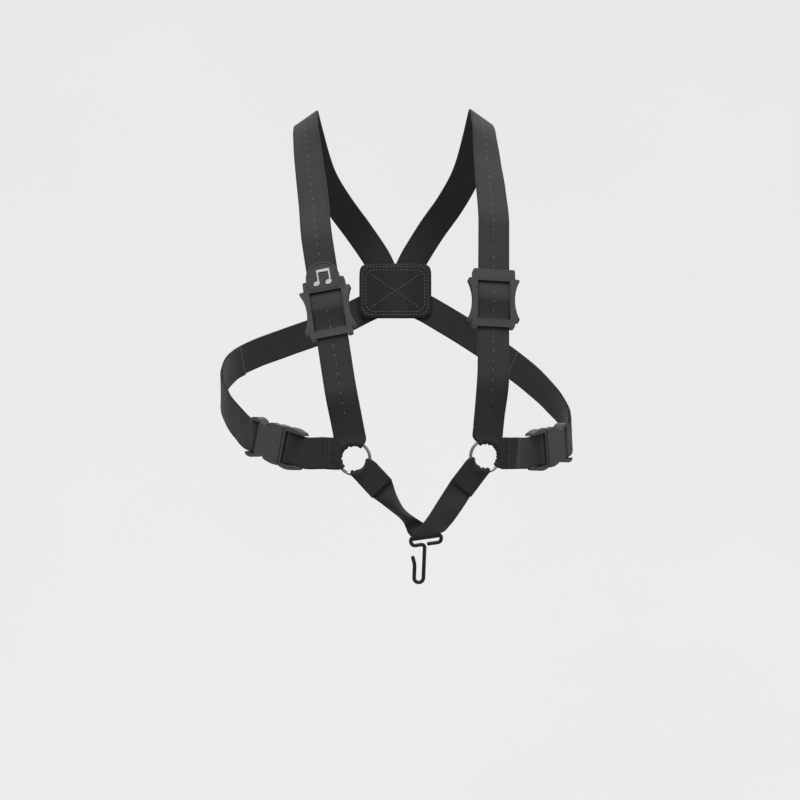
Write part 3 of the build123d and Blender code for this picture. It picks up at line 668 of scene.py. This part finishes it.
def return_loop(side):
    """The strap's end, which comes back up behind it from the ring and round the slider's middle bar."""
    ring, slider = RING[side], SLIDER[side]
    below = FRONT_REACH[side][1]
    radius = SLIDER_BAR_RADIUS + CLEARANCE + WEB_THICK / 2
    run = [(ring.at(y=TOP_REACH + 0.6), ring.z), (ring.at(y=TOP_REACH + WRAP_FLAT), ring.z)]
    run += [(slider.at(y=height), slider.z) for height in (-below, -30, -14)]
    flat = strip(run, lift=-LAYER_LIFT)
    dip_route = ((-13, 0), (-7, -0.4), (-0.5, SLIDER_BAR_DEPTH + radius + LAYER_LIFT))  # (height, depth)
    dip = strip([(slider.at(y=y, z=z), slider.z) for y, z in dip_route], 1.5, lift=-LAYER_LIFT)
    turn = bar_wrap(slider.at(z=SLIDER_BAR_DEPTH), slider.y, slider.z, slider.x, radius, start=84)
    tail_route = ((-1, -radius), (-9, -0.9), (-20, 0.2))  # (height, depth from the bar)
    tail = strip([(slider.at(y=y, z=SLIDER_BAR_DEPTH + z), -slider.z) for y, z in tail_route], 1.5)
    web = Web(flat, dip, turn, tail, thick=LOOP_THICK)
    piece = web.build(f"return_loop_{side}")
    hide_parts(f"adjuster_loop_{side}")
    # Ends of the stretch between the ring and the slider's foot, the stretch which takes up the slider's
    # travel.
    start, end = ring.at(y=TOP_REACH + 4), slider.at(y=SLIDER_FOOT - 3)
    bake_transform(piece)
    thread = stitches(f"return_loop_seam_{side}", seams_across(web, web.length[-1] - vec(3, 6), -slider.z))
    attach(thread, f"slider_{side}")


def window_arch(side):
    """Webbing that arches forward over the slider's middle bar, seen in the slider's window."""
    slider = SLIDER[side]
    top = WINDOW_HALF_HEIGHT + WINDOW_TUCK
    run = [(slider.at(y=top * share + WINDOW_RISE, z=LAYER_LIFT + z), slider.z) for share, z in ARCH]
    web = Web(strip(run, 1.0, half=WEB_HALF - 0.1), thick=ARCH_THICK)
    piece = web.build(f"window_arch_{side}")
    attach(piece, f"slider_{side}")
    centre_seam = seam_along(web, 6, web.length[-1] - 4, slider.z, pitch=7.0)
    thread = stitches(f"window_arch_seam_{side}", centre_seam, material=THREAD)
    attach(thread, f"slider_{side}")


# ---------------------------------------------------------------- strap ends at the clips, with loose tails
TAIL_END = 5.5  # stations from the bar to the tail's end
TAIL_LIFT = -2.6  # from the strap's middle surface to the tail's, beside the clip
TAIL_NEARER = 1.3  # how much closer to the strap the tail lies beyond the clip
PAST_BAR = 0.5  # the straight run to the bar ends this far from its middle


def strap_end(side):
    """From the back to the clip's far bar, round it, and back inside as the loose tail."""
    clip = CLIP[side]
    back = BACK_ROUTE[side]
    radius = CLIP_BAR_RADIUS + CLEARANCE + WEB_THICK / 2
    bar = clip.at(LADDER_BAR_AT)
    lifted = [(point + out * LAYER_LIFT, out) for point, out in torso_stations(back[-3:])]
    outer = lifted + torso_stations([END_ROUTE[side]])
    outer += [(clip.at(LADDER_BAR_AT + 8, z=0.3), clip.z)]
    outer += [(clip.at(LADDER_BAR_AT + PAST_BAR, z=radius), clip.z)]
    inner = [(clip.at(LADDER_BAR_AT + PAST_BAR, z=-radius - TAIL_LIFT), clip.z)]
    inner += [(clip.at(LADDER_BAR_AT + 9, z=0.2), clip.z)]
    inner += torso_stations([END_ROUTE[side]])
    inner += [(point + out * TAIL_NEARER, out) for point, out in torso_stations(back[:-5:-1])]
    over = strip(outer, span=(1, len(outer) - 1))
    across = unit(over[-1, -1] - over[-1, 0])
    turn = bar_wrap(bar, -clip.x, clip.z, across, radius)
    under = strip(inner, lift=TAIL_LIFT, span=(0, TAIL_END))
    web = Web(over, turn, under)
    piece = web.build(f"strap_end_web_{side}")
    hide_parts(f"strap_end_{side}", f"strap_tail_{side}")
    # Ends of the stretch between the back and the clip, the stretch which takes up the clip's travel.
    start, end = back[-2], clip.at(LADDER_BAR_AT + 5)
    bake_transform(piece)


# ---------------------------------------------------------------- side straps, from ring to clip
SIDE_ANGLE = {"right": 166.0, "left": 4.0}
SIDE_SHIFT = {"right": 3.0, "left": 0.0}
SIDE_RISE = {"right": 2.7, "left": 2.1}  # the strap's middle above the ring's
SIDE_REACH, SIDE_HALF_ARC = 20.0, 41.0
SIDE_NOTCHES = {
    "right": [(0.05, 0.9, 0.24), (0.6, 0.35, 0.3)],
    "left": [(-0.28, 0.8, 0.2), (0.1, 0.8, 0.16), (0.45, 0.6, 0.2), (-0.7, 0.4, 0.2)],
}


def side_strap(side):
    """One length of webbing round the ring and round the clip's bar, sewn to itself."""
    ring, clip = RING[side], CLIP[side]
    angle = radians(SIDE_ANGLE[side])
    spoke = ring.x * cos(angle) + ring.y * sin(angle)
    radius = CLIP_BAR_RADIUS + CLEARANCE + WEB_THICK / 2
    rise = square_to(vec(0, 0, 1), spoke) * SIDE_RISE[side]
    run = [(ring.origin + rise + spoke * reach, ring.z) for reach in (SIDE_REACH, SIDE_REACH + 4)]
    run += torso_stations([STUB_ROUTE[side]])
    run += [(clip.at(0), clip.z), (clip.at(BASE_BAR_AT - 8), clip.z)]
    over_bar = (clip.at(BASE_BAR_AT, z=radius - LAYER_LIFT), clip.z)
    under_bar = (clip.at(BASE_BAR_AT, z=LAYER_LIFT - radius), clip.z)
    wrap = ring_wrap(
        ring, SIDE_ANGLE[side], SIDE_HALF_ARC, SIDE_REACH, SIDE_NOTCHES[side], SIDE_SHIFT[side],
        rise=SIDE_RISE[side],
    )
    front = strip(run + [over_bar], 1.5, lift=LAYER_LIFT)
    turn = bar_wrap(clip.at(BASE_BAR_AT), clip.x, clip.z, unit(front[-1, -1] - front[-1, 0]), radius)
    back = strip(run + [under_bar], 1.5, lift=-LAYER_LIFT)[::-1]
    back = back[:-3]  # clear of the wrap's own end
    web = Web(wrap, front, turn, back)
    piece = web.build(f"side_web_{side}")
    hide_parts(f"side_strap_{side}")
    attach(piece, "harness")
    wrap_end = web.length[len(wrap) - 1]
    thread = stitches(f"side_strap_seam_{side}", seams_across(web, wrap_end + vec(0, 3), ring.z))
    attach(thread, "harness")


# ---------------------------------------------------------------- V strap
V_REACH, V_HALF_ARC = 33.0, 50.0
V_SHIFT = {"right": -5.0, "left": 4.0}
V_FRONT_HALF, V_LEG_HALF, V_BEHIND_HALF = 10.6, 10.4, 10.1  # half widths of the folds, left and right legs
V_THICK = WEB_THICK - 0.1
V_NOTCHES = {
    "right": [(0.1, 0.3, 0.5), (-0.72, 0.6, 0.2)],
    "left": [(0.25, 0.8, 0.22), (0.7, 0.6, 0.2), (-0.4, 0.4, 0.35)],
}


def ring_row(row):
    """The two edges of a wrap's last row, lower one first."""
    return (row[0], row[-1]) if row[0][2] < row[-1][2] else (row[-1], row[0])


def v_strap():
    """One length of webbing: sewn round the right ring, through the hook's loop, round the left ring."""
    radius = HOOK_WIRE + CLEARANCE + WEB_THICK / 2
    front, behind = vec(0, -1, 0), vec(0, 1, 0)
    wraps = {}
    for side, leg_half in (("right", V_BEHIND_HALF), ("left", V_LEG_HALF)):
        wraps[side] = ring_wrap(
            RING[side], V_ANGLE[side], V_HALF_ARC, V_REACH, V_NOTCHES[side], V_SHIFT[side],
            (leg_half, V_FRONT_HALF),
        )
    bar_half = LOOP_ALONG * BIGHT_HALF
    low, high = HOOK_BAR + behind * radius - bar_half, HOOK_BAR + behind * radius + bar_half
    # This leg comes down behind, curled to a third of its width at the least, and fans out to the bar.
    lower = ribbon(
        [ring_row(wraps["right"][0]),
         (vec(-4.7, -124.2, -327.4), vec(2.6, -125.5, -319.0)),
         (vec(5.6, -124.5, -335.6), vec(8.9, -126.0, -329.0)),
         (vec(9.2, -124.5, -342.3), vec(20.5, -124.8, -337.2)),
         (low + LOOP_UP * 1.6 - LOOP_ALONG * 1.5, high + LOOP_UP * 1.2),
         (low - LOOP_ALONG * 0.4, high)],
        [0.0, 5.0, 7.0, -2.0, 0.0, 0.0],
    )
    turn = bar_wrap(HOOK_BAR, -LOOP_UP, behind, LOOP_ALONG, radius, BIGHT_HALF)
    low, high = HOOK_BAR + front * radius + bar_half, HOOK_BAR + front * radius - bar_half
    upper = ribbon(
        [(low, high),
         (low + LOOP_UP * 0.7 + LOOP_ALONG * 2.9, high + LOOP_UP * 2.5 + LOOP_ALONG * 1.5),
         (vec(43.0, -128.3, -340.8), vec(24.4, -128.6, -336.3)),
         (vec(51.2, -125.4, -330.4), vec(35.0, -125.4, -320.4)),
         ring_row(wraps["left"][0])],
        [0.0, 0.0, 0.8, 1.4, 0.0],
    )
    web = Web(wraps["right"][::-1], lower, turn, upper, wraps["left"], thick=V_THICK)
    piece = web.build("v_strap_web")
    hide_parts("v_strap", "v_strap_anchor_right", "v_strap_anchor_left")
    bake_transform(piece)
    insets = vec(2.5, 5.5)
    rows = seams_across(web, insets, RING["right"].z)
    rows += seams_across(web, web.length[-1] - insets, RING["left"].z)
    thread = stitches("v_strap_seam", rows)
    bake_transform(thread)


# ---------------------------------------------------------------- rings
WELD_SWELL, WELD_WIDTH = 0.09, 0.09  # share of the wire's radius, radians along the ring


def ring_piece(side):
    """A welded wire ring: the weld is a low swelling where the ends meet, under the shoulder strap."""
    place = RING[side]
    around, sides = 120, 20
    points, faces = [], []
    for i in range(around):
        theta = 2 * pi * i / around
        radial = place.x * cos(theta) + place.y * sin(theta)
        gap = (theta - pi / 2 + pi) % (2 * pi) - pi
        wire = RING_WIRE * (1 + WELD_SWELL * hump(gap, 0, WELD_WIDTH))
        for k in range(sides):
            phi = 2 * pi * k / sides
            spoke = radial * (RING_RADIUS + wire * cos(phi))
            points.append(place.origin + spoke + place.z * wire * sin(phi))
            a, b = i * sides, (i + 1) % around * sides
            faces.append((a + k, a + (k + 1) % sides, b + (k + 1) % sides, b + k))
    piece = mesh_object(f"welded_ring_{side}", points, faces, NICKEL)
    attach(piece, f"ring_{side}")
    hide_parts(f"ring_{side}")


# ---------------------------------------------------------------- back patch
PATCH_HALF = (33.0, 25.0)
PATCH_INNER_Y, PATCH_OUTER_Y = 104.4, 110.1
PATCH_HALF_THICK = 0.8
PATCH_GRID = 33  # points along each side of a face
PATCH_POWER = 8  # of the rounded outline
PATCH_RIM, PATCH_RIM_THIN = 0.1, 0.6  # the thinner rim: share of the half width, share that it loses
PATCH_BEAD, PATCH_BEAD_AT, PATCH_BEAD_WIDTH = 0.12, 0.95, 0.03  # height, then shares of the half width
PATCH_SEAM_LIFT = 0.82  # from a patch's middle to its stitches
PATCH_INSETS, PATCH_CORNER = (3.0, 6.0), 5.0  # of the two rows of stitches round its edge
PATCH_CROSS = (22, 15)  # half size of the stitched cross


def patch_mesh(name, y):
    """A flat pad with a rounded outline and a thinner, beaded rim."""
    n, power = PATCH_GRID, PATCH_POWER
    points, faces, maps = [], [], []
    grid = np.linspace(-1, 1, n)
    for face in (1, -1):
        for zs in grid:
            for xs in grid:
                rim = max(abs(xs), abs(zs))
                outline = (abs(xs) ** power + abs(zs) ** power) ** (1 / power)
                shrink = rim / outline if rim else 0
                x, z = xs * shrink * PATCH_HALF[0], zs * shrink * PATCH_HALF[1]
                thinned = np.clip((rim - (1 - PATCH_RIM)) / PATCH_RIM, 0, 1) ** 2
                half = PATCH_HALF_THICK * (1 - PATCH_RIM_THIN * thinned)
                half += PATCH_BEAD * hump(rim, PATCH_BEAD_AT, PATCH_BEAD_WIDTH)
                points.append(vec(x, y + face * half, PATCH_Z + z))
                maps.append((x, z))
    size = n * n
    for i in range(n - 1):
        for j in range(n - 1):
            a = i * n + j
            faces.append((a, a + 1, a + n + 1, a + n))
            faces.append((size + a, size + a + n, size + a + n + 1, size + a + 1))
    border = list(range(n)) + [i * n + n - 1 for i in range(1, n)]
    border += [(n - 1) * n + j for j in range(n - 2, -1, -1)] + [i * n for i in range(n - 2, 0, -1)]
    for k, a in enumerate(border):
        b = border[(k + 1) % len(border)]
        faces.append((a, b, size + b, size + a))
    return mesh_object(name, points, faces, PATCH, maps)


def stitched_outline(outline, level, out, pitch=3.2, closed=True):
    """Stitches along straight lines on the patch."""
    seams = []
    ends = outline[1:] + ([outline[0]] if closed else [])
    for (x0, z0), (x1, z1) in zip(outline, ends):
        count = max(1, int(round(np.hypot(x1 - x0, z1 - z0) / pitch)))
        for k in range(count):
            a, b = k / count, (k + 0.7) / count
            start = vec(x0 + (x1 - x0) * a, level, PATCH_Z + z0 + (z1 - z0) * a)
            end = vec(x0 + (x1 - x0) * b, level, PATCH_Z + z0 + (z1 - z0) * b)
            seams.append((start, end, vec(0, out, 0)))
    return seams


def back_patch(name, node, y, out):
    """A patch over the straps' crossing, with two rows of stitches round its edge and a cross."""
    piece = patch_mesh(name, y)
    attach(piece, "harness")
    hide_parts(node)
    level = y + out * PATCH_SEAM_LIFT
    seams = []
    for inset in PATCH_INSETS:
        w, h = PATCH_HALF[0] - inset, PATCH_HALF[1] - inset
        short_w, short_h = w - PATCH_CORNER, h - PATCH_CORNER
        outline = [(-short_w, -h), (short_w, -h), (w, -short_h), (w, short_h),
                   (short_w, h), (-short_w, h), (-w, short_h), (-w, -short_h)]
        seams += stitched_outline(outline, level, out)
    w, h = PATCH_CROSS
    for rise in (h, -h):
        seams += stitched_outline([(-w, -rise), (w, rise)], level, out, closed=False)
    thread = stitches(f"{name}_seam", seams, radius=0.3, material=THREAD)
    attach(thread, "harness")


# ---------------------------------------------------------------- CAD parts that stay
def finish_node(name, material, edge=0.0):
    """A CAD part keeps its shape and gets its material, and edges softened by so many millimetres."""
    node = frame["nodes"][name]
    node.data.materials.clear()
    node.data.materials.append(material)
    if edge:
        bevel = node.modifiers.new("soft_edge", "BEVEL")
        bevel.width = edge * MM
        bevel.segments = 3
        bevel.limit_method = "ANGLE"
        bevel.angle_limit = radians(35)
        bevel.harden_normals = True


for side in SIDES:
    long_strap(side)
    return_loop(side)
    window_arch(side)
    strap_end(side)
    side_strap(side)
    ring_piece(side)
    finish_node(f"slider_{side}", PLASTIC, edge=0.45)
    finish_node(f"clip_base_{side}", CLIP_PLASTIC, edge=0.5)
    finish_node(f"clip_shell_{side}", CLIP_PLASTIC, edge=0.6)
    for level in ("upper", "lower"):
        finish_node(f"prong_{side}_{level}", CLIP_PLASTIC, edge=0.4)
v_strap()
back_patch("inner_patch", "back_patch_inner", PATCH_INNER_Y, out=-1)
back_patch("outer_patch", "back_patch_outer", PATCH_OUTER_Y, out=1)
finish_node("hook", COATING)
finish_node("slider_emblem", EMBLEM, edge=0.12)


# ---------------------------------------------------------------- floor, light and camera, in metres
FLOOR_Z, FLOOR_RADIUS, FLOOR_CURVE, WALL_TOP = -1.25, 3.0, 2.0, 6.0
LAMPS = (  # (name, place, size, watts)
    ("key", (-0.9, -1.6, 1.3), 1.1, 7),
    ("fill", (1.3, -1.5, 0.5), 1.2, 5),
    ("top", (0.0, -0.5, 1.0), 0.8, 20),
    ("back", (0.2, 1.8, 0.8), 1.2, 6),
)
LAMP_AIM = (0.0, 0.0, -0.2)
WORLD_STRENGTH = 0.45
CAMERA_X, CAMERA_Z, CAMERA_DISTANCE = 0.0043, -0.241, 1.6
HALF_VIEW = 0.344  # half the width that the camera sees at its distance
SENSOR_WIDTH = 36.0  # millimetres


def studio_floor():
    """A round pale floor that curves up into a wall. Its paper glows a little and lights nothing else."""
    profile = [(0.0, FLOOR_Z), (FLOOR_RADIUS, FLOOR_Z)]
    for a in np.linspace(0.1, pi / 2, 12):
        profile.append((FLOOR_RADIUS + FLOOR_CURVE * sin(a), FLOOR_Z + FLOOR_CURVE * (1 - cos(a))))
    profile.append((FLOOR_RADIUS + FLOOR_CURVE, WALL_TOP))
    turns = 64
    points, faces = [], []
    for radius, z in profile:
        for k in range(turns):
            angle = 2 * pi * k / turns
            points.append((radius * cos(angle) / MM, radius * sin(angle) / MM, z / MM))
    for r in range(len(profile) - 1):
        for k in range(turns):
            a, b = r * turns + k, r * turns + (k + 1) % turns
            faces.append((a, b, b + turns, a + turns))
    nodes = Nodes("studio_paper")
    place = nodes.object_place()
    shade = nodes.ramp(nodes.noise(place, 0.8), (0.3, 0.90), (0.7, 0.93))
    paper = nodes.finish(
        Base_Color=shade, Roughness=0.9, Specular_IOR_Level=0.1, Emission_Color=(1, 1, 1, 1),
        Emission_Strength=0.36,
    )
    floor = mesh_object("studio_floor", points, faces, paper)
    floor.visible_diffuse = floor.visible_glossy = floor.visible_shadow = False


def studio_light():
    """Soft light from all round, and four lamps that point at the chest."""
    world = bpy.data.worlds.new("soft_studio")
    world.use_nodes = True
    background = world.node_tree.nodes["Background"]
    background.inputs["Color"].default_value = (1, 1, 1, 1)
    background.inputs["Strength"].default_value = WORLD_STRENGTH
    bpy.context.scene.world = world
    for name, place, size, power in LAMPS:
        light = bpy.data.lights.new(name, "AREA")
        light.size, light.energy = size, power
        lamp = bpy.data.objects.new(name, light)
        lamp.location = place
        aim = Vector(np.array(LAMP_AIM) - np.array(place))
        lamp.rotation_euler = aim.to_track_quat("-Z", "Y").to_euler()
        bpy.context.scene.collection.objects.link(lamp)


def photo_camera():
    """Level with the chest, straight on, in front of the shoulders."""
    data = bpy.data.cameras.new("camera")
    data.sensor_width = SENSOR_WIDTH
    data.lens = SENSOR_WIDTH / 2 * CAMERA_DISTANCE / HALF_VIEW
    camera = bpy.data.objects.new("camera", data)
    camera.location = (CAMERA_X, -CAMERA_DISTANCE, CAMERA_Z)
    camera.rotation_euler = (pi / 2, 0, 0)
    bpy.context.scene.collection.objects.link(camera)
    bpy.context.scene.camera = camera
    bpy.context.scene.view_settings.view_transform = "Standard"


studio_floor()
studio_light()
photo_camera()
